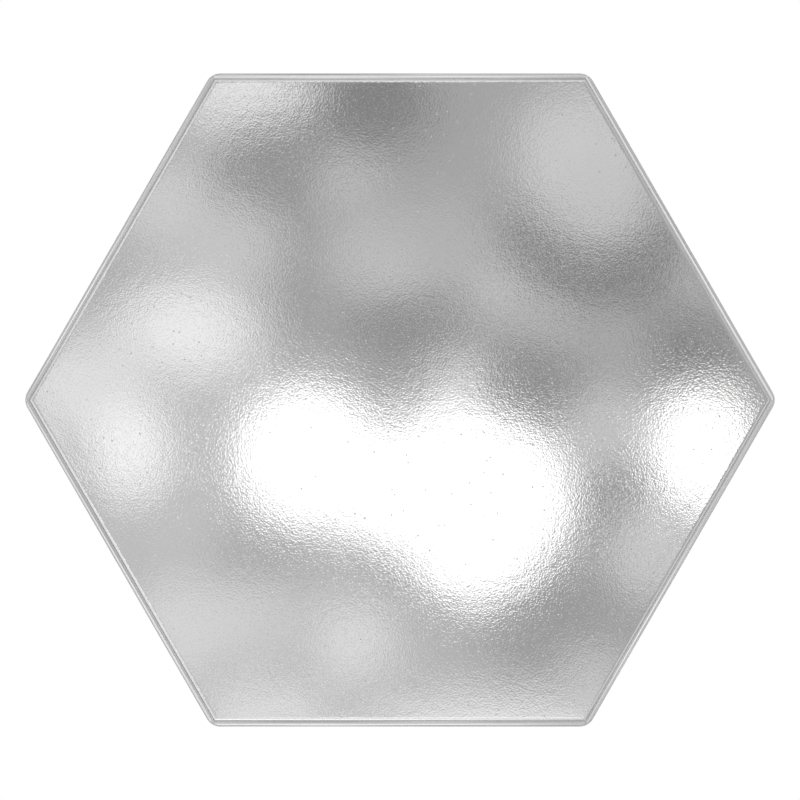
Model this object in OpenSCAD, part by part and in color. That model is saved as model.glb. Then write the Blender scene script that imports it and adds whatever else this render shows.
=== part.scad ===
// Hexagonal wall mirror: textured mirror glass in a welded, polished flat-bar frame.
// Seen from the front, X runs right, Z runs up and Y runs back towards the wall.

/* [Frame] */
// Distance between opposite flat sides of the frame, outside
across_flats = 520; // [360:5:900]
// Radius that the outer corners are ground to
corner_r = 12.5; // [6:0.5:16]
// Thickness of the frame bar, seen from the front
bar_t = 4.5; // [4:0.5:8]
// Depth of the space behind the board, inside the frame
recess_depth = 6; // [5.5:0.5:20]
// Rounding of the bar's two front edges
nose_r = 1.5; // [0.5:0.1:2.2]
// Leg of the weld in each inner corner
weld_leg = 3; // [1:0.5:4]

/* [Mirror glass] */
// Thickness of the glass
glass_t = 4; // [3:0.5:6]
// Shadow gap between the glass and the bar
glass_gap = 0.6; // [0.3:0.1:2]
// How far the face sits behind the front of the bar
glass_recess = 1; // [0:0.1:3]
// Rounding of the glass's front edge
glass_edge_r = 2; // [0.5:0.1:2.5]

/* [Backing board] */
// Thickness of the board behind the glass
board_t = 9; // [8:0.5:12]
// How much smaller than the glass the board is, all round
board_inset = 1.5; // [0.5:0.5:5]
// Thickness of the double-sided foam tape
tape_t = 1; // [0.5:0.1:3]
// Width of one strip of tape
tape_w = 25; // [10:1:40]
// Distance between the middles of two strips
tape_pitch = 90; // [50:5:100]
// Number of strips
tape_count = 5; // [3:1:5]
// Distance from a strip's end to the board's edge
tape_margin = 20; // [5:5:40]

/* [Fixing tabs] */
// Width of a tab along the bar
tab_w = 16; // [12:1:30]
// Length of the leg that lies on the board
tab_reach = 20; // [19:1:40]
// Height of the leg that is welded to the bar
tab_rise = 5; // [3:0.5:5.5]
// Thickness of the tab
tab_t = 2; // [1:0.5:2.5]
// Distance from the bar to the screw
tab_hole_in = 12; // [9:0.5:14]

/* [Screws] */
// Diameter of the screws' shanks
screw_d = 3.5; // [2.5:0.5:4]
// Diameter of the pan heads
head_d = 7; // [6:0.5:8]
// Height of the pan heads
head_h = 2.2; // [1.8:0.1:2.8]
// Depth that the screws go into the board
screw_bite = 6.5; // [4:0.5:7]

/* [Ring hangers] */
// Distance between the two hangers
hanger_spread = 260; // [120:5:300]
// Distance from the top bar's inner face down to the rings' hinges
hanger_drop = 105; // [60:5:200]
// Width of the folded strap
strap_w = 10; // [8:0.5:11]
// Length of the strap below the ring's hinge
strap_len = 42; // [40:1:60]
// Distances from the strap's lower end to its two screws
strap_holes = [6, 16];
// Thickness of the strip that the strap is folded from
strip_t = 1; // [0.8:0.1:1.2]
// Diameter of the ring's wire
wire_d = 3; // [2:0.5:3]
// Clear width inside the ring
ring_inside_w = 14.5; // [14.5:0.5:18]
// Straight stretch of the ring's sides
ring_side = 4; // [2:0.5:5]

/* [Rubber feet] */
// Diameter of a foot
foot_d = 12; // [8:1:16]
// How far the feet stand out behind the frame
foot_proud = 1.5; // [0.5:0.5:4]
// Distance from the board's corner to a foot's centre
foot_inset = 34; // [25:1:60]

/* [Hidden] */
$fn = 64;

// Clearances.
pilot_clear = 0.05;                       // round a screw in the board
shank_clear = 0.3;                        // round a screw in a tab or a strap
wire_clear = 0.08;                        // round the ring's wire in its strap
rest_gap = 0.3;                           // between a ring and what it comes to rest on
pilot_extra = 0.5;                        // depth of a pilot hole past the screw's point

sides = 6;
side_turn = 360 / sides;
half_turn = side_turn / 2;                // from a side's middle to its corner

// Half distances across the flats.
half_out = across_flats / 2;
half_in = half_out - bar_t;
half_glass = half_in - glass_gap;
half_board = half_glass - board_inset;

// Depths, as heights above the middle of the whole thickness, front positive.
bar_depth = glass_recess + glass_t + tape_t + board_t + recess_depth;
total_depth = bar_depth + foot_proud;
bar_front = total_depth / 2;
bar_rear = bar_front - bar_depth;
glass_front = bar_front - glass_recess;
glass_back = glass_front - glass_t;
board_front = glass_back - tape_t;
board_back = board_front - board_t;

// Half the straight length of a rail's outside, cut back to a whole hundredth so that the
// straight part and the round end meet on one plane and two rails never overlap.
straight_half = floor(100 * (half_out - corner_r) * tan(half_turn)) / 100;

// The bar's roundings stop short of each other where the ground corner leaves it thinnest.
corner_wall = (half_out - corner_r - half_in) / cos(half_turn) + corner_r;
nose = min(nose_r, 0.45 * min(bar_t, corner_wall));
glass_edge = min(glass_edge_r, 0.75 * glass_t);

// Hangers.
hanger_x = hanger_spread / 2;
wire_r = wire_d / 2;
eye_in_r = wire_r + wire_clear;
eye_out_r = eye_in_r + strip_t;
strap_t = 2 * strip_t;
hinge_height = board_back - eye_out_r;
hinge_z = half_in - hanger_drop;
ring_end_r = (ring_inside_w + wire_d) / 2;
ring_bend_r = wire_d;
ring_reach = ring_bend_r + ring_side + ring_end_r;
ring_tilt = asin((strap_t + rest_gap + wire_r - eye_out_r) / ring_reach);

// ---- Placing -------------------------------------------------------------------------

// Stands a plate that is drawn lying face up, so that its face looks along -Y.
module upright() rotate([90, 0, 0]) children();

// Turns something drawn at the top side round to side k, clockwise from the top.
module on_side(k) rotate([0, 0, -k * side_turn]) children();

// Sweeps a profile, drawn as height over distance from the middle, along the top side.
module along_side(length) rotate([90, 0, 90]) linear_extrude(length, center = true) children();

// A hexagonal prism with flat sides at top and bottom.
module hexagonal_prism(half, back, front)
    translate([0, 0, back]) cylinder(r = half / cos(half_turn), h = front - back, $fn = sides);

// ---- Shared shapes -------------------------------------------------------------------

// A profile from x = 0 to reach and y = back to front, its far front edge rounded.
module round_edged(reach, back, front, r) {
    translate([0, back]) square([reach - r, front - back]);
    translate([0, back]) square([reach, front - back - r]);
    translate([reach - r, front - r]) circle(r = r);
}

// A pan head screw standing on z = 0 with its shank down, and a cross recess in its head.
module pan_screw(length) {
    recess_w = 0.16 * head_d;
    recess_l = 0.52 * head_d;
    edge = 0.45 * head_h;
    point = screw_d;
    difference() {
        union() {
            rotate_extrude() round_edged(head_d / 2, 0, head_h, edge);
            translate([0, 0, point - length]) cylinder(d = screw_d, h = length - point);
            translate([0, 0, -length]) cylinder(d1 = 0.15 * screw_d, d2 = screw_d, h = point);
        }
        for (a = [0, 90]) rotate(a)
            translate([-recess_l / 2, -recess_w / 2, 0.4 * head_h]) cube([recess_l, recess_w, head_h]);
    }
}

// The hole that a screw's shank passes down into, from z = 0.
module shank_hole(depth, clearance)
    translate([0, 0, -depth]) cylinder(d = screw_d + 2 * clearance, h = 2 * depth);

// ---- Where the screws sit ------------------------------------------------------------

module at_tab_hole(k, height) on_side(k) translate([0, half_in - tab_hole_in, height]) children();

// Both screws of one strap, at x = side * hanger_x.
module at_strap_holes(side, height)
    for (v = strap_holes)
        translate([side * hanger_x, hinge_z - strap_len + v, height]) children();

// Turns a screw or hole over, so that its shank points to the front.
module from_behind() rotate([180, 0, 0]) children();

// ---- Frame ---------------------------------------------------------------------------

// A side's outer edge, straight with a round end that stops on the mitre, to the depth of
// the corner's radius.
module outer_edge() {
    module section() round_edged(corner_r, bar_rear, bar_front, nose);
    along_side(2 * straight_half) translate([half_out - corner_r, 0]) section();
    for (end = [0, 1]) mirror([end, 0, 0])
        translate([straight_half, half_out - corner_r, 0])
            rotate_extrude(angle = half_turn, start = 90 - half_turn) section();
}

// The straight inner edge, wide enough to reach past the outer one.
module inner_edge()
    along_side(across_flats)
        translate([half_in + 2 * bar_t, 0]) mirror([1, 0]) round_edged(2 * bar_t, bar_rear, bar_front, nose);

// One mitred length of flat bar on side k, its outer corners ground round.
module rail(k) color([0.80, 0.80, 0.81]) upright() on_side(k)
    intersection() {
        outer_edge();
        inner_edge();
    }

// A fillet of weld in each inner corner, behind the board.
module corner_welds() color([0.55, 0.54, 0.53]) upright()
    for (k = [0 : sides - 1]) on_side(k)
        rotate([0, 0, -half_turn]) translate([0, half_in / cos(half_turn), bar_rear])
            linear_extrude(board_back - bar_rear - rest_gap)
                polygon([
                    [0, 0],
                    weld_leg * [-cos(half_turn), -sin(half_turn)],
                    weld_leg * [cos(half_turn), -sin(half_turn)],
                ]);

// ---- Glass, tape and board -----------------------------------------------------------

// Three slabs with rounded front edges cross to make the hexagon.
module mirror_glass() color([0.88, 0.88, 0.89]) upright()
    intersection_for(k = [0 : sides / 2 - 1]) on_side(k) along_side(2 * across_flats) {
        round_edged(half_glass, glass_back, glass_front, glass_edge);
        mirror([1, 0]) round_edged(half_glass, glass_back, glass_front, glass_edge);
    }

module foam_tape() color([0.93, 0.93, 0.90]) upright()
    for (i = [0 : tape_count - 1]) {
        x = (i - (tape_count - 1) / 2) * tape_pitch;
        edge_x = abs(x) + tape_w / 2;
        corner_x = half_board / cos(half_turn);
        reach = min(half_board, (corner_x - edge_x) * tan(side_turn)) - tape_margin;
        translate([x - tape_w / 2, -reach, board_front]) cube([tape_w, 2 * reach, tape_t]);
    }

module backing_board() color([0.72, 0.56, 0.38]) upright()
    difference() {
        hexagonal_prism(half_board, board_back, board_front);
        for (k = [0 : sides - 1])
            at_tab_hole(k, board_back) from_behind() shank_hole(screw_bite + pilot_extra, pilot_clear);
        for (side = [-1, 1])
            at_strap_holes(side, board_back) from_behind() shank_hole(screw_bite + pilot_extra, pilot_clear);
    }

// ---- Tabs that hold the board --------------------------------------------------------

// One angle tab, welded to rail k and lying on the board's back.
module tab(k) color([0.66, 0.66, 0.67]) upright()
    difference() {
        on_side(k) {
            translate([-tab_w / 2, half_in - tab_reach, board_back - tab_t]) cube([tab_w, tab_reach, tab_t]);
            translate([-tab_w / 2, half_in - tab_t, board_back - tab_rise]) cube([tab_w, tab_t, tab_rise]);
        }
        at_tab_hole(k, board_back) shank_hole(2 * tab_t, shank_clear);
    }

module tab_screws() color([0.78, 0.78, 0.76]) upright()
    for (k = [0 : sides - 1])
        at_tab_hole(k, board_back - tab_t) from_behind() pan_screw(screw_bite + tab_t);

// ---- Ring hangers --------------------------------------------------------------------

// A strip folded round the ring's wire, its two layers lying on the board below the eye.
module hanger_strap(side) color([0.84, 0.72, 0.42]) upright()
    difference() {
        translate([side * hanger_x, hinge_z, 0]) rotate([90, 0, 90]) linear_extrude(strap_w, center = true)
            difference() {
                union() {
                    translate([0, hinge_height]) circle(r = eye_out_r);
                    translate([-strap_len, board_back - strap_t]) square([strap_len, strap_t]);
                }
                translate([0, hinge_height]) circle(r = eye_in_r);
            }
        at_strap_holes(side, board_back) shank_hole(2 * strap_t, shank_clear);
    }

// The closed wire ring, flat in the plane z = 0 and hanging below its hinge on the X axis.
module wire_ring() {
    bar_half = ring_end_r - ring_bend_r;
    rotate([0, 90, 0]) cylinder(r = wire_r, h = 2 * bar_half, center = true);
    for (s = [-1, 1]) {
        translate([s * bar_half, -ring_bend_r, 0]) rotate([0, 0, s > 0 ? 0 : 90])
            rotate_extrude(angle = 90) translate([ring_bend_r, 0]) circle(r = wire_r);
        translate([s * ring_end_r, -ring_bend_r, 0])
            rotate([90, 0, 0]) cylinder(r = wire_r, h = ring_side);
    }
    translate([0, -ring_bend_r - ring_side, 0]) rotate([0, 0, 180])
        rotate_extrude(angle = 180) translate([ring_end_r, 0]) circle(r = wire_r);
}

// The ring as it hangs, leaning on its strap.
module hanger_ring(side) color([0.84, 0.72, 0.42]) upright()
    translate([side * hanger_x, hinge_z, hinge_height]) rotate([ring_tilt, 0, 0]) wire_ring();

module hanger_screws() color([0.84, 0.72, 0.42]) upright()
    for (side = [-1, 1])
        at_strap_holes(side, board_back - strap_t) from_behind() pan_screw(screw_bite + strap_t);

// ---- Feet ----------------------------------------------------------------------------

// A stick-on rubber foot at the corner that is the given angle clockwise from the top.
module foot(angle) color([0.16, 0.16, 0.17]) upright()
    rotate([0, 0, -angle])
        translate([0, half_board / cos(half_turn) - foot_inset, board_back]) from_behind()
            rotate_extrude() round_edged(foot_d / 2, 0, board_back - bar_rear + foot_proud, 1.5);

// ---- Assembly ------------------------------------------------------------------------

side_names = ["top", "upper_right", "lower_right", "bottom", "lower_left", "upper_left"];
foot_corners = [["upper_right", 30], ["lower_right", 150], ["lower_left", 210], ["upper_left", 330]];

for (k = [0 : sides - 1]) {
    rail(k);
    tab(k);
}
corner_welds();
mirror_glass();
foam_tape();
backing_board();
tab_screws();
hanger_strap(-1);  // hanger_strap_left
hanger_strap(1);  // hanger_strap_right
hanger_ring(-1);  // hanger_ring_left
hanger_ring(1);  // hanger_ring_right
hanger_screws();
for (f = foot_corners)
    foot(f[1]);
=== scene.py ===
"""Hexagonal wall mirror: crinkled mirror glass in a welded, polished flat-bar frame.

Metres throughout, apart from the list of light patches. Seen from the front, X runs right,
Z runs up and Y runs back towards the wall.
"""

import math

import bmesh
import bpy
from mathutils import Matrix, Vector


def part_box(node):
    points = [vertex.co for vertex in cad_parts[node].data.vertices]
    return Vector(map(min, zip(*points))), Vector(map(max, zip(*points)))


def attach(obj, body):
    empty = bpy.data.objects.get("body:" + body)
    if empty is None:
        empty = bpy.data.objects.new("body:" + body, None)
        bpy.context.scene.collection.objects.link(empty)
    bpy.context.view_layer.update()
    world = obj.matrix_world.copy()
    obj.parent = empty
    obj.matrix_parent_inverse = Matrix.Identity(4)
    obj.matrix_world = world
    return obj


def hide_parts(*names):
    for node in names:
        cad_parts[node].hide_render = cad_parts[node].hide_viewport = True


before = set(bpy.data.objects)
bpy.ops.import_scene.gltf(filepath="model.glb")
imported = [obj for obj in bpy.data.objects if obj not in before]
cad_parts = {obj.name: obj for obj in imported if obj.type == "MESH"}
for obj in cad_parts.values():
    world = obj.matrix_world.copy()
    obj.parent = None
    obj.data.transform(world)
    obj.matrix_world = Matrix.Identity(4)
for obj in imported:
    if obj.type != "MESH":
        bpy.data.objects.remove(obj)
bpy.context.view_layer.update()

MM = 0.001
SIDES = 6
SIDE_TURN = math.radians(60)
SIDE_NAMES = ["top", "upper_right", "lower_right", "bottom", "lower_left", "upper_left"]

# ---- Sizes, read off the frame's own nodes --------------------------------------------

rail_low, rail_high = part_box("rail_top")
glass_low, glass_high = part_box("mirror_glass")
board_low, board_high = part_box("backing_board")
foot_low, foot_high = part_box("foot_upper_right")
strap_low, strap_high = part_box("hanger_strap_right")
tab_low, tab_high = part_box("tab_top")

HALF_OUT = rail_high.z
HALF_IN = rail_low.z
BAR_T = HALF_OUT - HALF_IN
BAR_FRONT = rail_low.y
BAR_REAR = rail_high.y
CORNER_R = 12.5 * MM
NOSE_R = 1.5 * MM
HALF_GLASS = HALF_IN - 0.03 * MM
GLASS_FRONT = glass_low.y
GLASS_BACK = glass_high.y
GLASS_EDGE = 2.0 * MM
GLASS_EDGE_DROP = 0.6 * MM
HALF_BOARD = board_high.z
BOARD_FRONT = board_low.y
BOARD_BACK = board_high.y

TAB_W = tab_high.x - tab_low.x
TAB_REACH = tab_high.z - tab_low.z
TAB_RISE = tab_high.y - BOARD_BACK
TAB_T = 2.0 * MM
TAB_SCREW_IN = 12.0 * MM

HEAD_R = 3.5 * MM
HEAD_H = 2.2 * MM
SHANK_R = 1.75 * MM
SCREW_LENGTH = 8.5 * MM
PILOT_R = 1.8 * MM
CLEARANCE_R = 2.05 * MM

STRIP_T = 1.0 * MM
STRAP_W = strap_high.x - strap_low.x
STRAP_X = (strap_high.x + strap_low.x) / 2
STRAP_FOOT = strap_low.z
EYE_R = (strap_high.y - strap_low.y) / 2
HINGE_Y = BOARD_BACK + EYE_R
HINGE_Z = strap_high.z - EYE_R
STRAP_SCREWS = [STRAP_FOOT + 6 * MM, STRAP_FOOT + 16 * MM]

WIRE_R = 1.5 * MM
RING_END_R = 8.75 * MM
RING_BEND_R = 3.0 * MM
RING_SIDE = 4.0 * MM
RING_TILT = math.radians(4.44)

FOOT_R = (foot_high.x - foot_low.x) / 2
FOOT_ROUND = 1.5 * MM
FOOT_DISH_R = FOOT_R - 2.6 * MM
FOOT_DISH_DEPTH = 0.35 * MM
FOOT_OUT = math.hypot(foot_high.x + foot_low.x, foot_high.z + foot_low.z) / 2
FOOT_TURNS = [math.radians(a) for a in (30, 150, 210, 330)]

# Radius of the small cap that closes a turned shape on its axis.
POLE = 0.02 * MM

EYE_DISTANCE = 1.5
VIEW_WIDTH = 0.6362
FLOOR_R = 2.5
FLOOR_Z = -1.2

# ---- Node trees ------------------------------------------------------------------------


def add(tree, kind, inputs=(), **settings):
    """Adds a node, each input given a value or a wire from another node's output."""
    made = tree.nodes.new(kind)
    for key, value in settings.items():
        setattr(made, key, value)
    for key, value in dict(inputs).items():
        if isinstance(value, Number):
            value = value.socket
        if isinstance(value, bpy.types.NodeSocket):
            tree.links.new(value, made.inputs[key])
        else:
            made.inputs[key].default_value = value
    return made


class Number:
    """A number inside a node tree. Arithmetic on it wires up Math nodes."""

    def __init__(self, tree, socket):
        self.tree = tree
        self.socket = socket

    def reckon(self, operation, *others):
        values = dict(enumerate((self, *others)))
        return Number(self.tree, add(self.tree, "ShaderNodeMath", values, operation=operation).outputs[0])

    def __add__(self, other):
        return self.reckon("ADD", other)

    def __sub__(self, other):
        return self.reckon("SUBTRACT", other)

    def __mul__(self, other):
        return self.reckon("MULTIPLY", other)

    def __truediv__(self, other):
        return self.reckon("DIVIDE", other)

    def at_least(self, other):
        return self.reckon("MAXIMUM", other)

    def at_most(self, other):
        return self.reckon("MINIMUM", other)

    def between(self, low, high):
        """How far this number is from low to high, held between 0 and 1."""
        inputs = {"Value": self, "From Min": low, "From Max": high}
        return Number(self.tree, add(self.tree, "ShaderNodeMapRange", inputs).outputs["Result"])

    def eased(self, low, high, bottom=0.0, top=1.0):
        """The same, but eased in and out, and from bottom to top."""
        inputs = {"Value": self, "From Min": low, "From Max": high, "To Min": bottom, "To Max": top}
        made = add(self.tree, "ShaderNodeMapRange", inputs, interpolation_type="SMOOTHERSTEP")
        return Number(self.tree, made.outputs["Result"])


def mixed(tree, share, first, second):
    """The first number where the share is 0, the second where it is 1."""
    made = add(tree, "ShaderNodeMix", {0: share, 2: first, 3: second}, data_type="FLOAT")
    return Number(tree, made.outputs[0])


def split(tree, vector):
    """A vector's three numbers."""
    parts = add(tree, "ShaderNodeSeparateXYZ", {0: vector})
    return [Number(tree, parts.outputs[i]) for i in range(3)]


def join(tree, x, y, z):
    return add(tree, "ShaderNodeCombineXYZ", {0: x, 1: y, 2: z}).outputs[0]


def noise(tree, where, size, detail=2.0, rough=0.5, stretch=None, distortion=0.0):
    """Soft noise from 0 to 1 whose blotches are about size across."""
    if stretch is not None:
        where = add(tree, "ShaderNodeMapping", {"Vector": where, "Scale": stretch}).outputs[0]
    inputs = {
        "Vector": where,
        "Scale": 1 / size,
        "Detail": detail,
        "Roughness": rough,
        "Distortion": distortion,
    }
    return Number(tree, add(tree, "ShaderNodeTexNoise", inputs).outputs[0])


# ---- Meshes ----------------------------------------------------------------------------


def new_piece(name, points, faces, smooth=True):
    """A mesh object at the origin, its faces turned outwards."""
    mesh = bpy.data.meshes.new(name)
    mesh.from_pydata([tuple(p) for p in points], [], [tuple(f) for f in faces])
    mesh.update()
    piece = bpy.data.objects.new(name, mesh)
    bpy.context.scene.collection.objects.link(piece)
    work = bmesh.new()
    work.from_mesh(mesh)
    bmesh.ops.recalc_face_normals(work, faces=work.faces)
    work.to_mesh(mesh)
    work.free()
    if smooth:
        mesh.shade_smooth()
    return piece


def plain_mesh(piece):
    """Turns whatever the piece's modifiers make into its plain mesh."""
    depsgraph = bpy.context.evaluated_depsgraph_get()
    piece.data = bpy.data.meshes.new_from_object(piece.evaluated_get(depsgraph), depsgraph=depsgraph)
    piece.modifiers.clear()
    return piece


def crisp(piece, degrees=35):
    """Smooth shading that stays sharp at edges steeper than the angle."""
    piece.data.shade_smooth()
    piece.data.set_sharp_from_angle(angle=math.radians(degrees))
    return piece


def extruded(name, outline, width, place):
    """A flat outline given a width, each corner put where place(u, v, across) says."""
    n = len(outline)
    points = [place(u, v, across) for across in (-width / 2, width / 2) for u, v in outline]
    faces = [(i, (i + 1) % n, n + (i + 1) % n, n + i) for i in range(n)]
    faces += [tuple(range(n)), tuple(range(n, 2 * n))]
    return new_piece(name, points, faces)


def lathed(name, outline, turns, place):
    """An outline of (radius, height) turned about its axis, closed at both ends."""
    rows = [(r, h) for r, h in outline if r > 0]
    points = []
    for r, h in rows:
        for i in range(turns):
            a = 2 * math.pi * i / turns
            points.append(place(r * math.cos(a), r * math.sin(a), h))
    faces = []
    for j in range(len(rows) - 1):
        for i in range(turns):
            k = (i + 1) % turns
            faces.append((j * turns + i, j * turns + k, (j + 1) * turns + k, (j + 1) * turns + i))
    faces.append(tuple(range(turns)))
    faces.append(tuple(range((len(rows) - 1) * turns, len(rows) * turns)))
    return new_piece(name, points, faces)


def rounded(piece, width, segments=2, degrees=40):
    """Breaks the piece's sharp edges."""
    bevel = piece.modifiers.new("broken edges", "BEVEL")
    bevel.width = width
    bevel.segments = segments
    bevel.limit_method = "ANGLE"
    bevel.angle_limit = math.radians(degrees)
    return plain_mesh(piece)


def cut_away(piece, tool):
    """Cuts the tool's shape out of the piece and removes the tool."""
    cut = piece.modifiers.new("cut", "BOOLEAN")
    cut.operation = "DIFFERENCE"
    cut.solver = "EXACT"
    cut.object = tool
    plain_mesh(piece)
    bpy.data.objects.remove(tool)


def drilled(piece, radius, centres):
    """Holes that run along Y through the piece at the given (x, y, z) middles."""
    length = 40 * MM
    for x, y, z in centres:
        outline = [(radius, -length / 2), (radius, length / 2)]
        drill = lathed("drill", outline, 32, lambda u, v, h: (x + u, y + h, z + v))
        cut_away(piece, drill)
    return piece


# ---- Geometry Nodes --------------------------------------------------------------------


def building_tree(name, sizes):
    """A Geometry Nodes tree with named inputs: {name: (socket type, starting value)}."""
    tree = bpy.data.node_groups.new(name, "GeometryNodeTree")
    tree.interface.new_socket("Geometry", in_out="INPUT", socket_type="NodeSocketGeometry")
    for label, (kind, value) in sizes.items():
        socket = tree.interface.new_socket(label, in_out="INPUT", socket_type=kind)
        if value is not None:
            socket.default_value = value
    tree.interface.new_socket("Geometry", in_out="OUTPUT", socket_type="NodeSocketGeometry")
    inputs = tree.nodes.new("NodeGroupInput").outputs
    return tree, inputs


def finish_tree(tree, geometry, finish):
    """Ends a tree in Realize Instances and Set Material."""
    real = add(tree, "GeometryNodeRealizeInstances", {"Geometry": geometry}).outputs[0]
    painted = add(tree, "GeometryNodeSetMaterial", {"Geometry": real, "Material": finish}).outputs[0]
    add(tree, "NodeGroupOutput", {"Geometry": painted})


def built(piece, tree, values):
    """Runs a tree on the piece with its inputs set, and leaves a plain mesh."""
    modifier = piece.modifiers.new("build", "NODES")
    modifier.node_group = tree
    for item in tree.interface.items_tree:
        if item.item_type == "SOCKET" and item.in_out == "INPUT" and item.name in values:
            modifier[item.identifier] = values[item.name]
    return plain_mesh(piece)


def copies_tree():
    """Puts a copy of a shape on each point, turned about Y by the point's own "turn"."""
    tree, given = building_tree("placed_copies", {
        "Shape": ("NodeSocketObject", None),
        "Largest spin": ("NodeSocketFloat", 0.0),
        "Seed": ("NodeSocketInt", 1),
        "Finish": ("NodeSocketMaterial", None),
    })
    turn = add(tree, "GeometryNodeInputNamedAttribute", {"Name": "turn"}, data_type="FLOAT").outputs[0]
    spin = add(tree, "FunctionNodeRandomValue", {
        "Max": given["Largest spin"],
        "Seed": given["Seed"],
    }, data_type="FLOAT")
    total = Number(tree, turn) + spin.outputs["Value"]
    shape = add(tree, "GeometryNodeObjectInfo", {"Object": given["Shape"]}).outputs["Geometry"]
    placed = add(tree, "GeometryNodeInstanceOnPoints", {
        "Points": given["Geometry"],
        "Instance": shape,
        "Rotation": join(tree, 0.0, total, 0.0),
    })
    finish_tree(tree, placed.outputs[0], given["Finish"])
    return tree


def placed_copies(name, shape, places, finish, spin=0.0, seed=1):
    """One piece made of copies of a shape at (x, y, z, turn), the shape itself then removed."""
    carrier = new_piece(name, [p[:3] for p in places], [])
    turns = carrier.data.attributes.new("turn", "FLOAT", "POINT")
    turns.data.foreach_set("value", [p[3] for p in places])
    built(carrier, COPIES, {"Shape": shape, "Finish": finish, "Largest spin": spin, "Seed": seed})
    bpy.data.objects.remove(shape)
    return crisp(carrier)


def on_the_hexagon(tree, size, round_the_hexagon, inward, depth):
    """Where a point of the bar lies, the way round running from -0.5 to 0.5."""
    # Which side, and how far along it from -1 to 1; the rest at each end is the corner.
    straight_share = 0.7
    station = (round_the_hexagon + 0.5) * SIDES
    side = (station + 1e-4).reckon("FLOOR")
    along = (station - side) * 2 - 1
    direction = along.reckon("SIGN")
    reach = along.reckon("ABSOLUTE")
    bend = reach.between(straight_share, 1.0)
    arc_centre = size["Half out"] - size["Corner radius"]
    straight = arc_centre * math.tan(SIDE_TURN / 2)
    run = reach.between(0.0, straight_share) * straight

    # The outside follows the ground corner, the inside a sharp one.
    outer_in = inward.at_most(size["Nose radius"])
    inner_in = inward.at_least(size["Bar thickness"] - size["Nose radius"])
    angle = bend * (SIDE_TURN / 2)
    radius = size["Corner radius"] - outer_in
    outer_along = run + radius * angle.reckon("SINE")
    outer_out = arc_centre + radius * angle.reckon("COSINE")
    inner_out = size["Half out"] - inner_in
    inner_along = run + bend * (inner_out * math.tan(SIDE_TURN / 2) - straight)
    share = (inward - size["Nose radius"]) / (size["Bar thickness"] - size["Nose radius"] * 2)
    share = share.at_least(0.0).at_most(1.0)
    across = (outer_along + (inner_along - outer_along) * share) * direction
    out = outer_out + (inner_out - outer_out) * share

    turn = side * SIDE_TURN
    x = across * turn.reckon("COSINE") + out * turn.reckon("SINE")
    z = out * turn.reckon("COSINE") - across * turn.reckon("SINE")
    return join(tree, x, depth, z)


def frame_tree():
    """Sweeps a bar section round the hexagon, its outer corners ground round, its inner ones sharp.

    The section's points give (distance in from the outside, 0, height along Y)."""
    tree, given = building_tree("flat_bar_frame", {
        "Section": ("NodeSocketObject", None),
        "Section points": ("NodeSocketInt", 8),
        "Stations": ("NodeSocketInt", 100),
        "Half out": ("NodeSocketFloat", 0.26),
        "Corner radius": ("NodeSocketFloat", 0.0125),
        "Bar thickness": ("NodeSocketFloat", 0.0045),
        "Nose radius": ("NodeSocketFloat", 0.0015),
        "Wobble": ("NodeSocketFloat", 0.0),
        "Finish": ("NodeSocketMaterial", None),
    })
    size = {}
    for name in given.keys():
        if name not in ("Geometry", "Section", "Finish", ""):
            size[name] = Number(tree, given[name])
    rows = size["Section points"] + 1
    grid = add(tree, "GeometryNodeMeshGrid", {
        "Size X": 1.0,
        "Size Y": 1.0,
        "Vertices X": size["Stations"] * SIDES + 1,
        "Vertices Y": rows,
    }).outputs["Mesh"]
    round_the_hexagon = split(tree, add(tree, "GeometryNodeInputPosition").outputs[0])[0]
    index = Number(tree, add(tree, "GeometryNodeInputIndex").outputs[0])
    in_section = index.reckon("MODULO", rows).reckon("MODULO", size["Section points"])
    section = add(tree, "GeometryNodeObjectInfo", {"Object": given["Section"]}).outputs["Geometry"]
    corner = add(tree, "GeometryNodeSampleIndex", {
        "Geometry": section,
        "Value": add(tree, "GeometryNodeInputPosition").outputs[0],
        "Index": (in_section + 0.5).reckon("FLOOR"),
    }, data_type="FLOAT_VECTOR").outputs[0]
    inward, _, depth = split(tree, corner)
    place = on_the_hexagon(tree, size, round_the_hexagon, inward, depth)
    swept = add(tree, "GeometryNodeSetPosition", {"Geometry": grid, "Position": place})
    closed = add(tree, "GeometryNodeMergeByDistance", {"Geometry": swept.outputs[0], "Distance": 2e-6})
    outwards = add(tree, "GeometryNodeFlipFaces", {0: closed.outputs[0]})
    where = add(tree, "GeometryNodeInputPosition").outputs[0]
    wobble = (noise(tree, where, 0.03, detail=1.0) - 1.0) * size["Wobble"]
    normal = add(tree, "GeometryNodeInputNormal").outputs[0]
    offset = add(tree, "ShaderNodeVectorMath", {0: normal, "Scale": wobble}, operation="SCALE").outputs[0]
    worn = add(tree, "GeometryNodeSetPosition", {"Geometry": outwards.outputs[0], "Offset": offset})
    smooth = add(tree, "GeometryNodeSetShadeSmooth", {"Geometry": worn.outputs[0]})
    finish_tree(tree, smooth.outputs[0], given["Finish"])
    return tree


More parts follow.
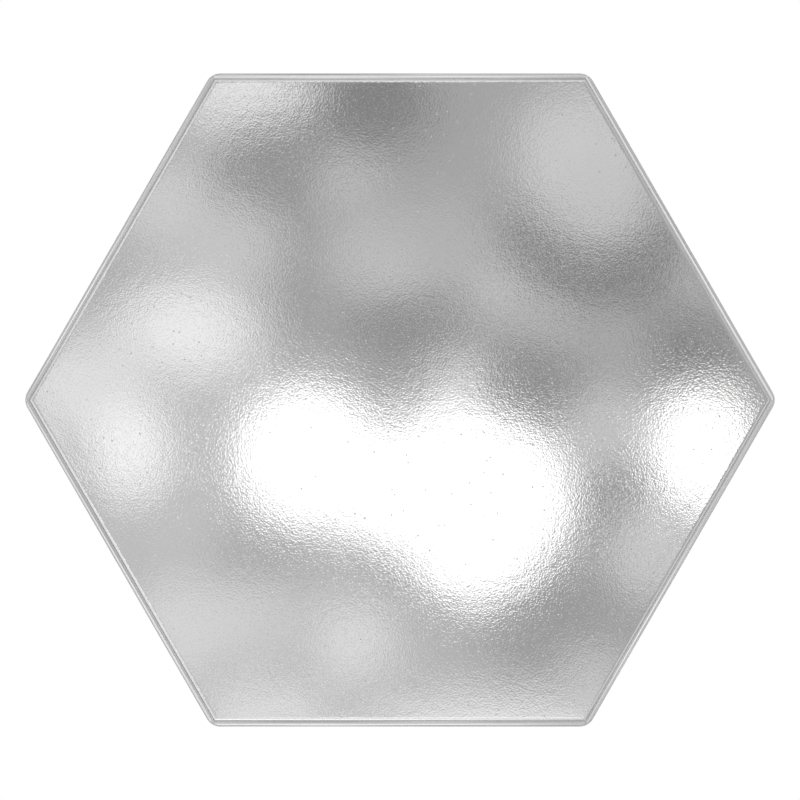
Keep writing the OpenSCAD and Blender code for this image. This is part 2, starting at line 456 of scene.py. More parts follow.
def crinkle_tree():
    """Draws a crinkled skin and slow swells into a plate's face, fading out at its edge."""
    tree, given = building_tree("crinkled_glass", {
        "Swell": ("NodeSocketFloat", 0.0),
        "Crinkle": ("NodeSocketFloat", 0.0),
        "Fine crinkle": ("NodeSocketFloat", 0.0),
        "Finish": ("NodeSocketMaterial", None),
        "Edge finish": ("NodeSocketMaterial", None),
        "Back finish": ("NodeSocketMaterial", None),
    })
    where = add(tree, "GeometryNodeInputPosition").outputs[0]
    face = add(tree, "GeometryNodeInputNamedAttribute", {"Name": "face"}, data_type="FLOAT").outputs[0]
    swell = (noise(tree, where, 0.06, detail=1.0) - 0.5) * given["Swell"]
    crinkle = (noise(tree, where, 0.009, detail=1.0) - 0.5) * given["Crinkle"]
    fine = (noise(tree, where, 0.0042, detail=0.0) - 0.5) * given["Fine crinkle"]
    height = (swell + crinkle + fine) * face
    shaped = add(tree, "GeometryNodeSetPosition", {
        "Geometry": given["Geometry"],
        "Offset": join(tree, 0.0, height, 0.0),
    }).outputs[0]
    zone = add(tree, "GeometryNodeInputNamedAttribute", {"Name": "zone"}, data_type="FLOAT").outputs[0]
    for label, level in (("Edge finish", 0.5), ("Back finish", 1.5)):
        chosen = add(tree, "FunctionNodeCompare", {0: zone, 1: level}, operation="GREATER_THAN").outputs[0]
        shaped = add(tree, "GeometryNodeSetMaterial", {
            "Geometry": shaped,
            "Selection": chosen,
            "Material": given[label],
        }).outputs[0]
    real = add(tree, "GeometryNodeRealizeInstances", {"Geometry": shaped}).outputs[0]
    plain = add(tree, "FunctionNodeCompare", {0: zone, 1: 0.5}, operation="LESS_THAN").outputs[0]
    painted = add(tree, "GeometryNodeSetMaterial", {
        "Geometry": real,
        "Selection": plain,
        "Material": given["Finish"],
    }).outputs[0]
    add(tree, "NodeGroupOutput", {"Geometry": painted})
    return tree


COPIES = copies_tree()

# ---- Finishes --------------------------------------------------------------------------


def new_finish(name, colour, metal, roughness):
    """A material with its shader; returns (material, tree, shader, object coordinates)."""
    finish = bpy.data.materials.new(name)
    finish.use_nodes = True
    tree = finish.node_tree
    shader = tree.nodes["Principled BSDF"]
    shader.inputs["Base Color"].default_value = (*colour, 1)
    shader.inputs["Metallic"].default_value = metal
    shader.inputs["Roughness"].default_value = roughness
    finish.diffuse_color = (*colour, 1)
    where = add(tree, "ShaderNodeTexCoord").outputs["Object"]
    return finish, tree, shader, where


def tinted(tree, shader, amount, low, high):
    """Colour that runs from low to high with a number from 0 to 1."""
    made = add(tree, "ShaderNodeMix", {"Factor": amount}, data_type="RGBA")
    first, second = [socket for socket in made.inputs if socket.type == "RGBA"]
    first.default_value = (*low, 1)
    second.default_value = (*high, 1)
    result = [socket for socket in made.outputs if socket.type == "RGBA"][0]
    tree.links.new(result, shader.inputs["Base Color"])


def roughened(tree, shader, amount, low, high):
    """Roughness that runs from low to high with a number from 0 to 1."""
    tree.links.new((amount * (high - low) + low).socket, shader.inputs["Roughness"])


def bumped(tree, shader, height, distance):
    """A bump whose full height is the distance."""
    made = add(tree, "ShaderNodeBump", {"Height": height, "Distance": distance, "Strength": 1.0})
    tree.links.new(made.outputs[0], shader.inputs["Normal"])


def speckle(tree, where, size, radius):
    """Sparse small dots: 1 in a dot and 0 outside."""
    made = add(tree, "ShaderNodeTexVoronoi", {"Vector": where, "Scale": 1 / size})
    return Number(tree, made.outputs["Distance"]).eased(radius, radius * 0.4)


def silvered_face():
    finish, tree, shader, where = new_finish("silvered_glass_face", (0.93, 0.93, 0.93), 1.0, 0.05)
    cloud = noise(tree, where, 0.03, detail=3.0)
    pits_and_pit_shade = speckle(tree, where, 0.008, 0.11)
    # Painted shade: the colour goes darker in each pit, on top of the pit that the bump sinks below.
    tinted(tree, shader, cloud * 0.15 + 0.85 - pits_and_pit_shade, (0.62, 0.62, 0.62), (0.95, 0.95, 0.95))
    roughened(tree, shader, cloud, 0.012, 0.035)
    skin = noise(tree, where, 0.0014, detail=1.0, distortion=0.5)
    bumped(tree, shader, skin - pits_and_pit_shade * 2.0, 0.000021)
    return finish


def ground_edge():
    finish, tree, shader, where = new_finish("ground_glass_edge", (0.90, 0.91, 0.90), 1.0, 0.10)
    haze = noise(tree, where, 0.004, detail=3.0)
    tinted(tree, shader, haze, (0.86, 0.87, 0.86), (0.95, 0.96, 0.95))
    roughened(tree, shader, haze, 0.04, 0.10)
    bumped(tree, shader, noise(tree, where, 0.0008, detail=2.0), 0.00002)
    return finish


def backing_paint():
    finish, tree, shader, where = new_finish("mirror_back_paint", (0.30, 0.31, 0.32), 0.0, 0.5)
    tinted(tree, shader, noise(tree, where, 0.02, detail=4.0), (0.26, 0.27, 0.28), (0.35, 0.36, 0.37))
    bumped(tree, shader, noise(tree, where, 0.0015, detail=3.0), 0.00005)
    return finish


def polished_steel():
    finish, tree, shader, where = new_finish("polished_steel", (0.90, 0.90, 0.91), 1.0, 0.10)
    haze = noise(tree, where, 0.02, detail=4.0)
    tinted(tree, shader, haze, (0.86, 0.86, 0.87), (0.94, 0.94, 0.94))
    roughened(tree, shader, haze, 0.03, 0.09)
    bumped(tree, shader, noise(tree, where, 0.0012, detail=3.0), 0.000006)
    return finish


def welded_steel():
    finish, tree, shader, where = new_finish("weld_bead", (0.45, 0.42, 0.40), 1.0, 0.4)
    tint = noise(tree, where, 0.003, detail=2.0)
    tinted(tree, shader, tint.eased(0.3, 0.7), (0.30, 0.31, 0.38), (0.62, 0.55, 0.44))
    roughened(tree, shader, tint, 0.25, 0.55)
    bumped(tree, shader, noise(tree, where, 0.0006, detail=2.0), 0.00006)
    return finish


def zinc_plate(name, size):
    finish, tree, shader, where = new_finish(name, (0.62, 0.63, 0.64), 1.0, 0.35)
    flakes = add(tree, "ShaderNodeTexVoronoi", {"Vector": where, "Scale": 1 / size})
    flake = split(tree, flakes.outputs["Color"])[0]
    tinted(tree, shader, flake, (0.52, 0.53, 0.55), (0.72, 0.73, 0.74))
    roughened(tree, shader, flake, 0.26, 0.42)
    bumped(tree, shader, noise(tree, where, 0.0007, detail=3.0), 0.00002)
    return finish


def brass_plate():
    finish, tree, shader, where = new_finish("brass_plate", (0.75, 0.56, 0.27), 1.0, 0.28)
    tarnish = noise(tree, where, 0.004, detail=5.0)
    tinted(tree, shader, tarnish.eased(0.35, 0.75), (0.80, 0.62, 0.32), (0.50, 0.35, 0.16))
    roughened(tree, shader, tarnish, 0.16, 0.34)
    scratches = noise(tree, where, 0.002, detail=3.0, stretch=(6.0, 1.0, 0.3))
    bumped(tree, shader, scratches, 0.00003)
    return finish


def fibreboard():
    finish, tree, shader, where = new_finish("fibreboard", (0.50, 0.35, 0.21), 0.0, 0.72)
    fibres = noise(tree, where, 0.0011, detail=4.0, rough=0.7)
    patches = noise(tree, where, 0.05, detail=3.0)
    flecks = noise(tree, where, 0.0016, detail=2.0, stretch=(1.0, 1.0, 0.6))
    amount = fibres * 0.7 + patches * 0.3 + flecks.eased(0.58, 0.75) * -0.16 + 0.04
    tinted(tree, shader, amount, (0.33, 0.22, 0.12), (0.62, 0.46, 0.30))
    roughened(tree, shader, fibres, 0.62, 0.82)
    bumped(tree, shader, fibres, 0.00008)
    return finish


def tape_foam():
    finish, tree, shader, where = new_finish("white_foam_tape", (0.85, 0.85, 0.82), 0.0, 0.8)
    cells = add(tree, "ShaderNodeTexVoronoi", {"Vector": where, "Scale": 1 / 0.0005})
    cell_depth_and_shade = Number(tree, cells.outputs["Distance"])
    # Painted shade: each cell is darker down in its hollow, from the same number that sinks it in the
    # bump.
    tinted(tree, shader, cell_depth_and_shade, (0.72, 0.72, 0.68), (0.88, 0.88, 0.85))
    bumped(tree, shader, cell_depth_and_shade, 0.0001)
    return finish


def black_rubber():
    finish, tree, shader, where = new_finish("black_rubber", (0.03, 0.03, 0.032), 0.0, 0.62)
    dust = noise(tree, where, 0.003, detail=5.0)
    tinted(tree, shader, dust.eased(0.45, 0.8), (0.022, 0.022, 0.024), (0.075, 0.073, 0.07))
    roughened(tree, shader, dust, 0.5, 0.75)
    bumped(tree, shader, noise(tree, where, 0.0004, detail=2.0), 0.00003)
    return finish


def pale_floor():
    finish, tree, shader, where = new_finish("pale_floor", (0.86, 0.86, 0.85), 0.0, 0.6)
    tinted(tree, shader, noise(tree, where, 0.4, detail=3.0), (0.84, 0.84, 0.83), (0.88, 0.88, 0.87))
    return finish


POLISHED = polished_steel()
BRASS = brass_plate()
TAB_ZINC = zinc_plate("zinc_plated_tab", 0.0022)
SCREW_ZINC = zinc_plate("zinc_plated_screw", 0.001)

# ---- The mirror glass ------------------------------------------------------------------


def hexagon_ring(half, count):
    """A sharp hexagon with flat sides at top and bottom, count points to a side."""
    points = []
    for side in range(SIDES):
        c, s = math.cos(side * SIDE_TURN), math.sin(side * SIDE_TURN)
        for i in range(count):
            a = (2 * i / count - 1) * half * math.tan(SIDE_TURN / 2)
            points.append((a * c + half * s, half * c - a * s))
    return points


def glass_face(rings, flat_half):
    """Rings of small triangles, with how much of the crinkle each point takes."""
    fade = 6 * MM
    points = [(0, GLASS_FRONT, 0)]
    crinkled = [1.0]
    starts = [0]
    for r in range(1, rings + 1):
        starts.append(len(points))
        half = flat_half * r / rings
        points += [(x, GLASS_FRONT, z) for x, z in hexagon_ring(half, r)]
        crinkled += [min(1.0, (flat_half - half) / fade)] * (SIDES * r)
    faces = []
    for r in range(1, rings + 1):
        within = SIDES * (r - 1)
        for side in range(SIDES):
            for i in range(r):
                outer = starts[r] + side * r + i
                after = starts[r] + (side * r + i + 1) % (SIDES * r)
                inner = starts[r - 1] + (side * (r - 1) + i) % max(1, within)
                faces.append((outer, after, inner))
                if i < r - 1:
                    beyond = starts[r - 1] + (side * (r - 1) + i + 1) % within
                    faces.append((after, beyond, inner))
    return points, crinkled, faces


def glass_edge(flat_half):
    """The ground edge as (half the width across the flats, y), from the face to the back."""
    steps = 6
    line = []
    for k in range(1, steps + 1):
        a = math.radians(90 * k / steps)
        half = flat_half + GLASS_EDGE * math.sin(a)
        line.append((half, GLASS_FRONT + GLASS_EDGE_DROP * (1 - math.cos(a))))
    line.append((HALF_GLASS, GLASS_BACK))
    return line


def mirror_glass():
    """The crinkled face, then its round ground edge and its plain back."""
    rings = 168
    around = SIDES * rings
    flat_half = HALF_GLASS - GLASS_EDGE
    points, crinkled, faces = glass_face(rings, flat_half)
    zone = [0.0] * len(faces)
    last = len(points) - around
    for half, y in glass_edge(flat_half):
        start = len(points)
        points += [(x, y, z) for x, z in hexagon_ring(half, rings)]
        crinkled += [0.0] * around
        for i in range(around):
            k = (i + 1) % around
            faces.append((start + i, start + k, last + k, last + i))
            zone.append(1.0)
        last = start
    faces.append(tuple(range(last, last + around)))
    zone.append(2.0)
    piece = new_piece("crinkled_mirror", points, faces)
    piece.data.attributes.new("face", "FLOAT", "POINT").data.foreach_set("value", crinkled)
    piece.data.attributes.new("zone", "FLOAT", "FACE").data.foreach_set("value", zone)
    built(piece, crinkle_tree(), {
        "Swell": 0.06 * MM,
        "Crinkle": 0.012 * MM,
        "Fine crinkle": 0.006 * MM,
        "Finish": silvered_face(),
        "Edge finish": ground_edge(),
        "Back finish": backing_paint(),
    })
    return crisp(piece, 30)


# ---- The frame -------------------------------------------------------------------------


def bar_section():
    """The bar's section, from its outside rear corner round the front to its inside rear one."""
    chamfer = 0.3 * MM
    steps = 24
    points = [(chamfer, BAR_REAR), (0, BAR_REAR - chamfer)]
    for k in range(steps + 1):
        a = math.radians(180 * k / steps)
        points.append((BAR_T / 2 * (1 - math.cos(a)), BAR_FRONT + NOSE_R * (1 - math.sin(a))))
    points += [(BAR_T, BAR_REAR - chamfer), (BAR_T - chamfer, BAR_REAR)]
    return points


def welded_frame():
    """Six bars in one ring, polished over their joints."""
    section_points = bar_section()
    section = new_piece("section", [(d, 0, y) for d, y in section_points], [])
    carrier = new_piece("welded_frame", [(0, 0, 0)], [])
    built(carrier, frame_tree(), {
        "Section": section,
        "Section points": len(section_points),
        "Stations": 80,
        "Half out": HALF_OUT,
        "Corner radius": CORNER_R,
        "Bar thickness": BAR_T,
        "Nose radius": NOSE_R,
        "Wobble": 0.05 * MM,
        "Finish": POLISHED,
    })
    bpy.data.objects.remove(section)
    return crisp(carrier)


def at_side(side, across, out):
    """(x, z) of a point on a side, across along it and out from the middle."""
    c, s = math.cos(side * SIDE_TURN), math.sin(side * SIDE_TURN)
    return across * c + out * s, out * c - across * s


def corner_welds():
    """Rippled fillets up the inner corners behind the board."""
    outline = [
        (POLE, -0.62 * MM),
        (1.2 * MM, -0.5 * MM),
        (1.65 * MM, -0.2 * MM),
        (1.7 * MM, 0.1 * MM),
        (1.4 * MM, 0.42 * MM),
        (POLE, 0.58 * MM),
    ]
    ripple = lathed("ripple", outline, 18, lambda u, v, h: (u, h, v))
    ripples = 7
    pitch = 0.72 * MM
    lowest = BOARD_BACK + 1.0 * MM
    corner = HALF_IN / math.cos(SIDE_TURN / 2) - 1.0 * MM
    places = []
    for k in range(SIDES):
        a = (k + 0.5) * SIDE_TURN
        for i in range(ripples):
            places.append((corner * math.sin(a), lowest + i * pitch, corner * math.cos(a), a))
    return placed_copies("rippled_corner_welds", ripple, places, welded_steel(), spin=0.4, seed=3)


# ---- The board and what holds it -------------------------------------------------------


def backing_board():
    """The board, with a pilot hole for each screw."""
    outline = [at_side(k, HALF_BOARD * math.tan(SIDE_TURN / 2), HALF_BOARD) for k in range(SIDES)]
    middle = (BOARD_FRONT + BOARD_BACK) / 2
    thick = BOARD_BACK - BOARD_FRONT
    board = extruded("fibreboard_back", outline, thick, lambda u, v, w: (u, middle + w, v))
    rounded(board, 0.5 * MM)
    spots = [at_side(k, 0, HALF_IN - TAB_SCREW_IN) for k in range(SIDES)]
    spots += [(side * STRAP_X, z) for side in (-1, 1) for z in STRAP_SCREWS]
    drill_middle = BOARD_BACK + 13 * MM
    drilled(board, PILOT_R, [(x, drill_middle, z) for x, z in spots])
    board.data.materials.clear()
    board.data.materials.append(fibreboard())
    return crisp(board)


def bent_tab():
    """One tab at the top side: a bent strip, its riser on the bar and its leg on the board."""
    inner = 1.0 * MM
    outer = inner + TAB_T
    steps = 8
    back = BOARD_BACK
    turns = [math.radians(90 * k / steps) for k in range(1, steps)]
    outline = [(HALF_IN - TAB_REACH, back), (HALF_IN - outer, back)]
    for a in turns:
        outline.append((HALF_IN - outer * (1 - math.sin(a)), back + outer * (1 - math.cos(a))))
    outline += [(HALF_IN, back + outer), (HALF_IN, back + TAB_RISE)]
    outline += [(HALF_IN - TAB_T, back + TAB_RISE), (HALF_IN - TAB_T, back + outer)]
    for a in reversed(turns):
        outline.append((HALF_IN - outer + inner * math.sin(a), back + outer - inner * math.cos(a)))
    outline += [(HALF_IN - outer, back + TAB_T), (HALF_IN - TAB_REACH, back + TAB_T)]
    tab = extruded("tab", outline, TAB_W, lambda z, y, x: (x, y, z))
    rounded(tab, 0.3 * MM)
    return drilled(tab, CLEARANCE_R, [(0, back, HALF_IN - TAB_SCREW_IN)])


def screw_outline():
    """Half of a pan head screw as (radius, height), from its point up over its head."""
    point = -SCREW_LENGTH + 3.2 * MM
    pitch = 1.2 * MM
    outline = [(POLE, -SCREW_LENGTH), (0.35 * SHANK_R, -SCREW_LENGTH + 0.6 * MM), (SHANK_R, point)]
    y = point
    while y < -pitch:
        outline += [(SHANK_R * 0.8, y + pitch * 0.3), (SHANK_R, y + pitch * 0.8)]
        y += pitch
    outline += [(SHANK_R * 0.9, -0.2 * MM), (SHANK_R, 0), (HEAD_R * 0.97, 0), (HEAD_R, 0.15 * MM)]
    outline.append((HEAD_R, HEAD_H * 0.45))
    for k in range(1, 6):
        a = math.radians(90 * k / 6)
        outline.append((HEAD_R * (0.58 + 0.42 * math.cos(a)), HEAD_H * (0.45 + 0.55 * math.sin(a))))
    outline.append((POLE, HEAD_H))
    return outline


def cross_head_screw():
    """A pan head screw whose head stands towards +Y from y = 0, its shank running to -Y."""
    screw = lathed("screw", screw_outline(), 28, lambda u, v, h: (u, h, v))
    long = 0.52 * HEAD_R
    wide = 0.13 * HEAD_R
    for half_x, half_z in ((wide, long), (long, wide)):
        mouth = [(-half_x, -half_z), (half_x, -half_z), (half_x, half_z), (-half_x, half_z)]
        slot = extruded("slot", mouth, HEAD_H * 1.3, lambda u, v, w: (u, HEAD_H * 1.05 + w, v))
        cut_away(screw, slot)
    return screw


def tab_screws():
    y = BOARD_BACK + TAB_T
    places = []
    for k in range(SIDES):
        x, z = at_side(k, 0, HALF_IN - TAB_SCREW_IN)
        places.append((x, y, z, 0.0))
    return placed_copies("tab_screw_set", cross_head_screw(), places, SCREW_ZINC, spin=1.5, seed=5)


def hanger_screws():
    y = BOARD_BACK + 2 * STRIP_T
    places = [(side * STRAP_X, y, z, 0.0) for side in (-1, 1) for z in STRAP_SCREWS]
    return placed_copies("hanger_screw_set", cross_head_screw(), places, BRASS, spin=1.5, seed=11)


def rubber_feet():
    """Round-edged feet with a shallow dish in their ends."""
    height = foot_high.y - BOARD_BACK
    dish = height - FOOT_DISH_DEPTH
    outline = [(POLE, 0), (FOOT_R, 0), (FOOT_R, height - FOOT_ROUND)]
    for k in range(1, 7):
        a = math.radians(90 * k / 6)
        radius = FOOT_R - FOOT_ROUND * (1 - math.cos(a))
        outline.append((radius, height - FOOT_ROUND * (1 - math.sin(a))))
    outline += [(FOOT_DISH_R, height), (FOOT_DISH_R - 0.3 * MM, dish), (POLE, dish)]
    foot = lathed("foot", outline, 40, lambda u, v, h: (u, h, v))
    places = [(FOOT_OUT * math.sin(a), BOARD_BACK, FOOT_OUT * math.cos(a), a) for a in FOOT_TURNS]
    return placed_copies("rubber_foot_set", foot, places, black_rubber())


# ---- The ring hangers ------------------------------------------------------------------


def strap_line():
    """The folded strip's middle line as (height off the board, z): up, round the wire and down."""
    bend = EYE_R - STRIP_T / 2
    under = STRIP_T / 2
    over = 1.5 * STRIP_T + 0.02 * MM
    line = [(under, STRAP_FOOT), (under, HINGE_Z - 4 * MM), (under, HINGE_Z)]
    for degrees in range(15, 196, 15):
        a = math.radians(degrees)
        line.append((EYE_R - bend * math.cos(a), HINGE_Z + bend * math.sin(a)))
    line += [(2.55 * MM, HINGE_Z - 2.3 * MM), (1.75 * MM, HINGE_Z - 3.6 * MM)]
    line += [(over, HINGE_Z - 5 * MM), (over, STRAP_FOOT)]
    return line


def thickened(line, thickness):
    """A closed outline around a line, half the thickness to each side."""
    left = []
    right = []
    for i, (a, b) in enumerate(line):
        before = line[max(0, i - 1)]
        after = line[min(len(line) - 1, i + 1)]
        da, db = after[0] - before[0], after[1] - before[1]
        length = math.hypot(da, db)
        na = -db / length * thickness / 2
        nb = da / length * thickness / 2
        left.append((a + na, b + nb))
        right.append((a - na, b - nb))
    return left + right[::-1]


def hanger_strap(side, name):
    """A strip folded double round the ring's wire, with its two holes."""
    outline = thickened(strap_line(), STRIP_T * 0.97)
    middle = side * STRAP_X
    strap = extruded(name, outline, STRAP_W, lambda h, z, w: (middle + w, BOARD_BACK + h, z))
    rounded(strap, 0.18 * MM)
    drilled(strap, CLEARANCE_R, [(middle, BOARD_BACK, z) for z in STRAP_SCREWS])
    strap.data.materials.append(BRASS)
    return crisp(strap)


def ring_path():
    """The wire's middle line: a straight bar, two tight bends, short sides and a round end."""
    half = RING_END_R - RING_BEND_R
    drop = RING_BEND_R + RING_SIDE
    bend = [math.radians(90 * k / 8) for k in range(1, 9)]
    path = [(half * t, 0) for t in (-1, -0.5, 0, 0.5, 1)]
    for a in bend:
        path.append((half + RING_BEND_R * math.sin(a), RING_BEND_R * (1 - math.cos(a))))
    for k in range(0, 25):
        a = math.radians(180 * k / 24)
        path.append((RING_END_R * math.cos(a), drop + RING_END_R * math.sin(a)))
    for a in reversed(bend):
        path.append((-half - RING_BEND_R * math.sin(a), RING_BEND_R * (1 - math.cos(a))))
    return path


def wire_ring(side, name):
    """Round wire bent along its path, hanging from the hinge with its end on the board."""
    path = ring_path()
    n = len(path)
    around = 20
    points = []
    faces = []
    for i, (x, down) in enumerate(path):
        before = path[i - 1]
        after = path[(i + 1) % n]
        dx, dv = after[0] - before[0], after[1] - before[1]
        length = math.hypot(dx, dv)
        for j in range(around):
            a = 2 * math.pi * j / around
            across = x + dv / length * WIRE_R * math.cos(a)
            fall = down - dx / length * WIRE_R * math.cos(a)
            rise = WIRE_R * math.sin(a)
            y = HINGE_Y + fall * math.sin(RING_TILT) + rise * math.cos(RING_TILT)
            z = HINGE_Z - fall * math.cos(RING_TILT) + rise * math.sin(RING_TILT)
            points.append((side * STRAP_X + across, y, z))
            k, m = (i + 1) % n, (j + 1) % around
            faces.append((i * around + j, i * around + m, k * around + m, k * around + j))
    ring = new_piece(name, points, faces)
    ring.data.materials.append(BRASS)
    return ring


# ---- Light, camera and floor -----------------------------------------------------------

# Soft patches of light and shade in front of the mirror, in centimetres on its face as they
# are seen in it: across, up, half width, half height, turn, softness, brightness.
SURROUND_LEVEL = 0.40
LIGHT_PATCHES = [
    (-18, -8, 15, 24, 0, .5, .54),
    (-8, 12, 2.5, 9, 0, .6, .36),
    (-1, -22, 8, 6, 0, .6, .50),
    # dark
    (-2.7, 24, 5.1, 4, 0, .5, .235),
    (-10, 18.5, 5, 3.5, -15, .5, .305),
    (11, 12.3, 4, 2.4, -40, .5, .25),
    (16.3, 9.5, 5, 2.6, 0, .5, .235),
    (20, 12, 3.2, 3.8, -35, .5, .22),
    (23.2, 4, 4, 2.7, -15, .6, .24),
    (.3, 6, 5.3, 3, 0, .6, .29),
    (11, 1.5, 4.5, 3, -20, .6, .28),
    (17.3, -7.8, 2.8, 4.3, 0, .6, .28),
    (13.6, -17.3, 6.1, 3.1, 30, .6, .345),
    (-11, -12, 4, 3, 0, .6, .43),
    (-23, 9.5, 3, 3, 0, .6, .45),
    # middling
    (14.8, 19.2, 5.5, 6.1, 20, .35, .635),
    (16.5, 15.5, 4, 3.5, 0, .5, .58),
    (-4.3, 17.5, 2.9, 2.6, 0, .6, .53),
    (-19, 16, 3.5, 3.5, 0, .6, .66),
    (-13.5, 12.5, 4, 3.5, 0, .6, .60),
    (-1, 11.2, 4.8, 3.1, 0, .6, .56),
    (3.5, 13.5, 4, 2.5, 0, .6, .49),
    (7.8, 8.8, 3, 2.4, -30, .6, .57),
    (11.8, 6.4, 2.9, 2.1, -30, .6, .50),
    (17.5, 5.5, 2.6, 2.6, 0, .6, .43),
    (23.3, 10, 2, 2.5, 0, .6, .47),
    (16.5, -2.3, 3.6, 3.4, 0, .6, .59),
    (20, -12, 3.5, 4, 0, .5, .64),
    (-3.8, -19.3, 3.6, 3.4, 0, .6, .76),
    (-12.5, -17.5, 4, 3, 0, .6, .68),
    (-18, -18.5, 3.5, 4, 0, .5, .72),
    (-17.5, -11, 3, 2.5, 0, .6, .57),
    (-11, -25.5, 5, 3, 0, .5, .78),
    (7.5, -26.7, 10.5, 3.2, 0, .6, .80),
    (15.5, -22.8, 3, 3, 0, .6, .60),
    (-15.5, 22, 2.6, 2.2, 0, .6, .55),
    # bright
    (-12.8, 25.4, 6, 3, 0, .5, .84),
    (-26, 1, 5, 4, 0, .6, .80),
    (-17.2, 5.6, 5.6, 3.5, -10, .6, .91),
    (-21.5, -4, 3.2, 4, 0, .6, 1.0),
    # white
    (4.7, 1.3, 2.3, 2.7, -20, .7, .72),
    (-7.2, -4.7, 5.7, 5.2, -20, .32, 1.6),
    (-1.5, -8.9, 3.4, 2.8, -20, .4, 1.3),
    (5.6, -7.1, 8.0, 6.0, -15, .32, 1.6),
    (6, -11.2, 5.1, 4.8, 0, .32, 1.5),
    (24.3, -4, 3.9, 4.8, 0, .35, 1.6),
    # just outside the mirror, which its edges catch
    (-33, -19, 6, 15, 30, .5, 1.35),
    (-31.5, 18.5, 5.5, 15, -30, .5, 1.0),
    (0, 37, 24, 6, 0, .5, .95),
    (3, -32.3, 22, 4.5, 0, .5, 1.0),
]

# Broad lights further out, which the frame's round front and the glass's edge pick up.
FAR_LEVEL = 0.50
FAR_PATCHES = [
    (0, 56, 45, 17, 0, .4, .90),
    (52, -30, 20, 36, -30, .4, .80),
    (-22, -66, 36, 34, 0, .35, 1.35),
    (-55, -32, 20, 36, 30, .4, .78),
    (-45, 26, 18, 34, -30, .4, 1.05),
    (-115, -66, 60, 70, 0, .4, .95),
    (-190, 110, 110, 90, 0, .4, .65),
]


def patched_light(tree, where, level, patches):
    """Paints each patch over the ones before it."""
    for across, up, half_w, half_h, turn, soft, bright in patches:
        local = add(tree, "ShaderNodeMapping", {
            "Vector": where,
            "Location": (across, up, 0),
            "Rotation": (0, 0, math.radians(turn)),
            "Scale": (half_w, half_h, 1),
        }, vector_type="TEXTURE").outputs[0]
        away = add(tree, "ShaderNodeVectorMath", {0: local}, operation="LENGTH").outputs["Value"]
        level = mixed(tree, Number(tree, away).eased(1 + soft, 1 - soft), level, bright)
    return level


def cloudy_light(tree, direction):
    """Soft grey clouds with a few bright ones, for reflections well to the side."""
    clouds = noise(tree, direction, 0.07, detail=2.0, distortion=0.7)
    made = add(tree, "ShaderNodeValToRGB", {"Fac": clouds})
    ramp = made.color_ramp
    ramp.interpolation = "B_SPLINE"
    steps = [(0.30, 0.17), (0.42, 0.27), (0.50, 0.42), (0.57, 0.72), (0.66, 1.4)]
    while len(ramp.elements) < len(steps):
        ramp.elements.new(0.5)
    for element, (at, level) in zip(ramp.elements, steps):
        element.position = at
        element.color = (level, level, level, 1)
    return Number(tree, made.outputs["Color"])


def studio_surround():
    """What the mirror and the metal reflect, with even light on what isn't shiny."""
    world = bpy.data.worlds.new("studio_surround")
    bpy.context.scene.world = world
    world.use_nodes = True
    tree = world.node_tree
    tree.nodes.clear()
    direction = add(tree, "ShaderNodeTexCoord").outputs["Generated"]
    x, y, z = split(tree, direction)
    forward = y * -1
    ahead = forward.at_least(0.05)
    reach = EYE_DISTANCE * 100
    on_face = join(tree, x / ahead * reach, z / ahead * reach, 0.0)
    near = patched_light(tree, on_face, SURROUND_LEVEL, LIGHT_PATCHES)
    broad = patched_light(tree, on_face, FAR_LEVEL, FAR_PATCHES)
    far = mixed(tree, forward.eased(0.85, 0.60, 0.10, 0.95), broad, cloudy_light(tree, direction))
    seen = mixed(tree, forward.eased(0.93, 0.97), far, near)
    path = add(tree, "ShaderNodeLightPath")
    seen = mixed(tree, Number(tree, path.outputs["Is Diffuse Ray"]), seen, z * 0.3 + 0.8)
    seen = mixed(tree, Number(tree, path.outputs["Is Camera Ray"]), seen, 1.0)
    glow = add(tree, "ShaderNodeBackground", {"Color": join(tree, seen, seen, seen), "Strength": 1.0})
    add(tree, "ShaderNodeOutputWorld", {"Surface": glow.outputs[0]})


def soft_lamp(name, place, size, watts):
    """A square lamp that faces the middle of the mirror."""
    light = bpy.data.lights.new(name, "AREA")
    light.size = size
    light.energy = watts
    lamp = bpy.data.objects.new(name, light)
    lamp.location = place
    lamp.rotation_euler = (-Vector(place)).to_track_quat("-Z", "Y").to_euler()
    lamp.visible_camera = False
    lamp.visible_glossy = False
    bpy.context.scene.collection.objects.link(lamp)


def floor():
    """A plain round floor well below the mirror, which hangs."""
    n = 96
    turns = [2 * math.pi * i / n for i in range(n)]
    ring = [(FLOOR_R * math.cos(a), FLOOR_R * math.sin(a), FLOOR_Z) for a in turns]
    disc = new_piece("floor", ring, [tuple(range(n))], smooth=False)
    disc.data.materials.append(pale_floor())
    disc.visible_glossy = False


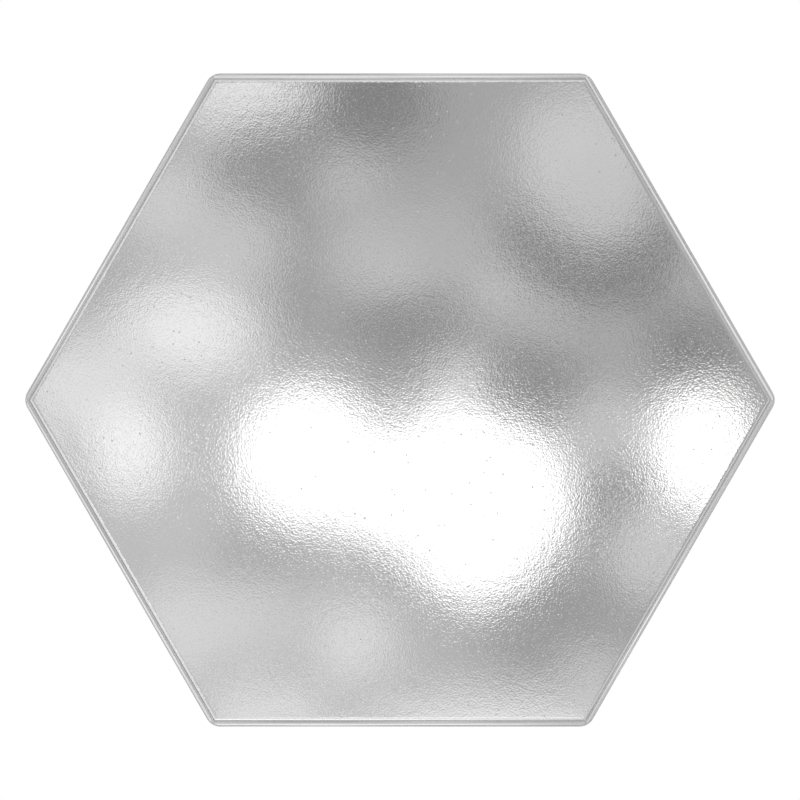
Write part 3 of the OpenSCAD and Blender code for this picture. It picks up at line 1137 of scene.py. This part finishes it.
def camera():
    """Square in front of the mirror."""
    lens = bpy.data.cameras.new("camera")
    lens.sensor_width = 36
    lens.lens = lens.sensor_width * (EYE_DISTANCE + BAR_FRONT) / VIEW_WIDTH
    lens.clip_end = 50
    eye = bpy.data.objects.new("camera", lens)
    eye.location = (0, -EYE_DISTANCE, 0)
    eye.rotation_euler = (math.radians(90), 0, 0)
    bpy.context.scene.collection.objects.link(eye)
    bpy.context.scene.camera = eye


# ---- Putting it together ---------------------------------------------------------------


def settle(piece, body, nodes):
    """Fixes a finished piece to its body, in place of the nodes it stands for."""
    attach(piece, body)
    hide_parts(*nodes)


def refinish(node, finish):
    """Gives a carried-over node its finish."""
    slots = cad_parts[node].data.materials
    if len(slots) == 0:
        slots.append(finish)
    for i in range(len(slots)):
        slots[i] = finish


settle(mirror_glass(), "mirror", ["mirror_glass"])
settle(welded_frame(), "mirror", ["rail_" + name for name in SIDE_NAMES])
settle(corner_welds(), "mirror", ["corner_welds"])

settle(backing_board(), "mirror", ["backing_board"])
refinish("foam_tape", tape_foam())

tab_places = [(0, 0, 0, k * SIDE_TURN) for k in range(SIDES)]
tabs = placed_copies("bent_tab_set", bent_tab(), tab_places, TAB_ZINC)
settle(tabs, "mirror", ["tab_" + name for name in SIDE_NAMES])
settle(tab_screws(), "mirror", ["tab_screws"])
settle(hanger_screws(), "mirror", ["hanger_screws"])
foot_nodes = ["foot_upper_right", "foot_lower_right", "foot_lower_left", "foot_upper_left"]
settle(rubber_feet(), "mirror", foot_nodes)

for sign, hand in ((-1, "left"), (1, "right")):
    settle(hanger_strap(sign, "folded_strap_" + hand), "mirror", ["hanger_strap_" + hand])
    settle(wire_ring(sign, "wire_ring_" + hand), "ring_" + hand, ["hanger_ring_" + hand])

bpy.context.scene.view_settings.view_transform = "Standard"
studio_surround()
soft_lamp("rear_lamp", (-1.6, 1.5, 1.4), 0.8, 26)
soft_lamp("rear_fill", (1.8, 1.6, 0.2), 1.2, 9)
floor()
camera()
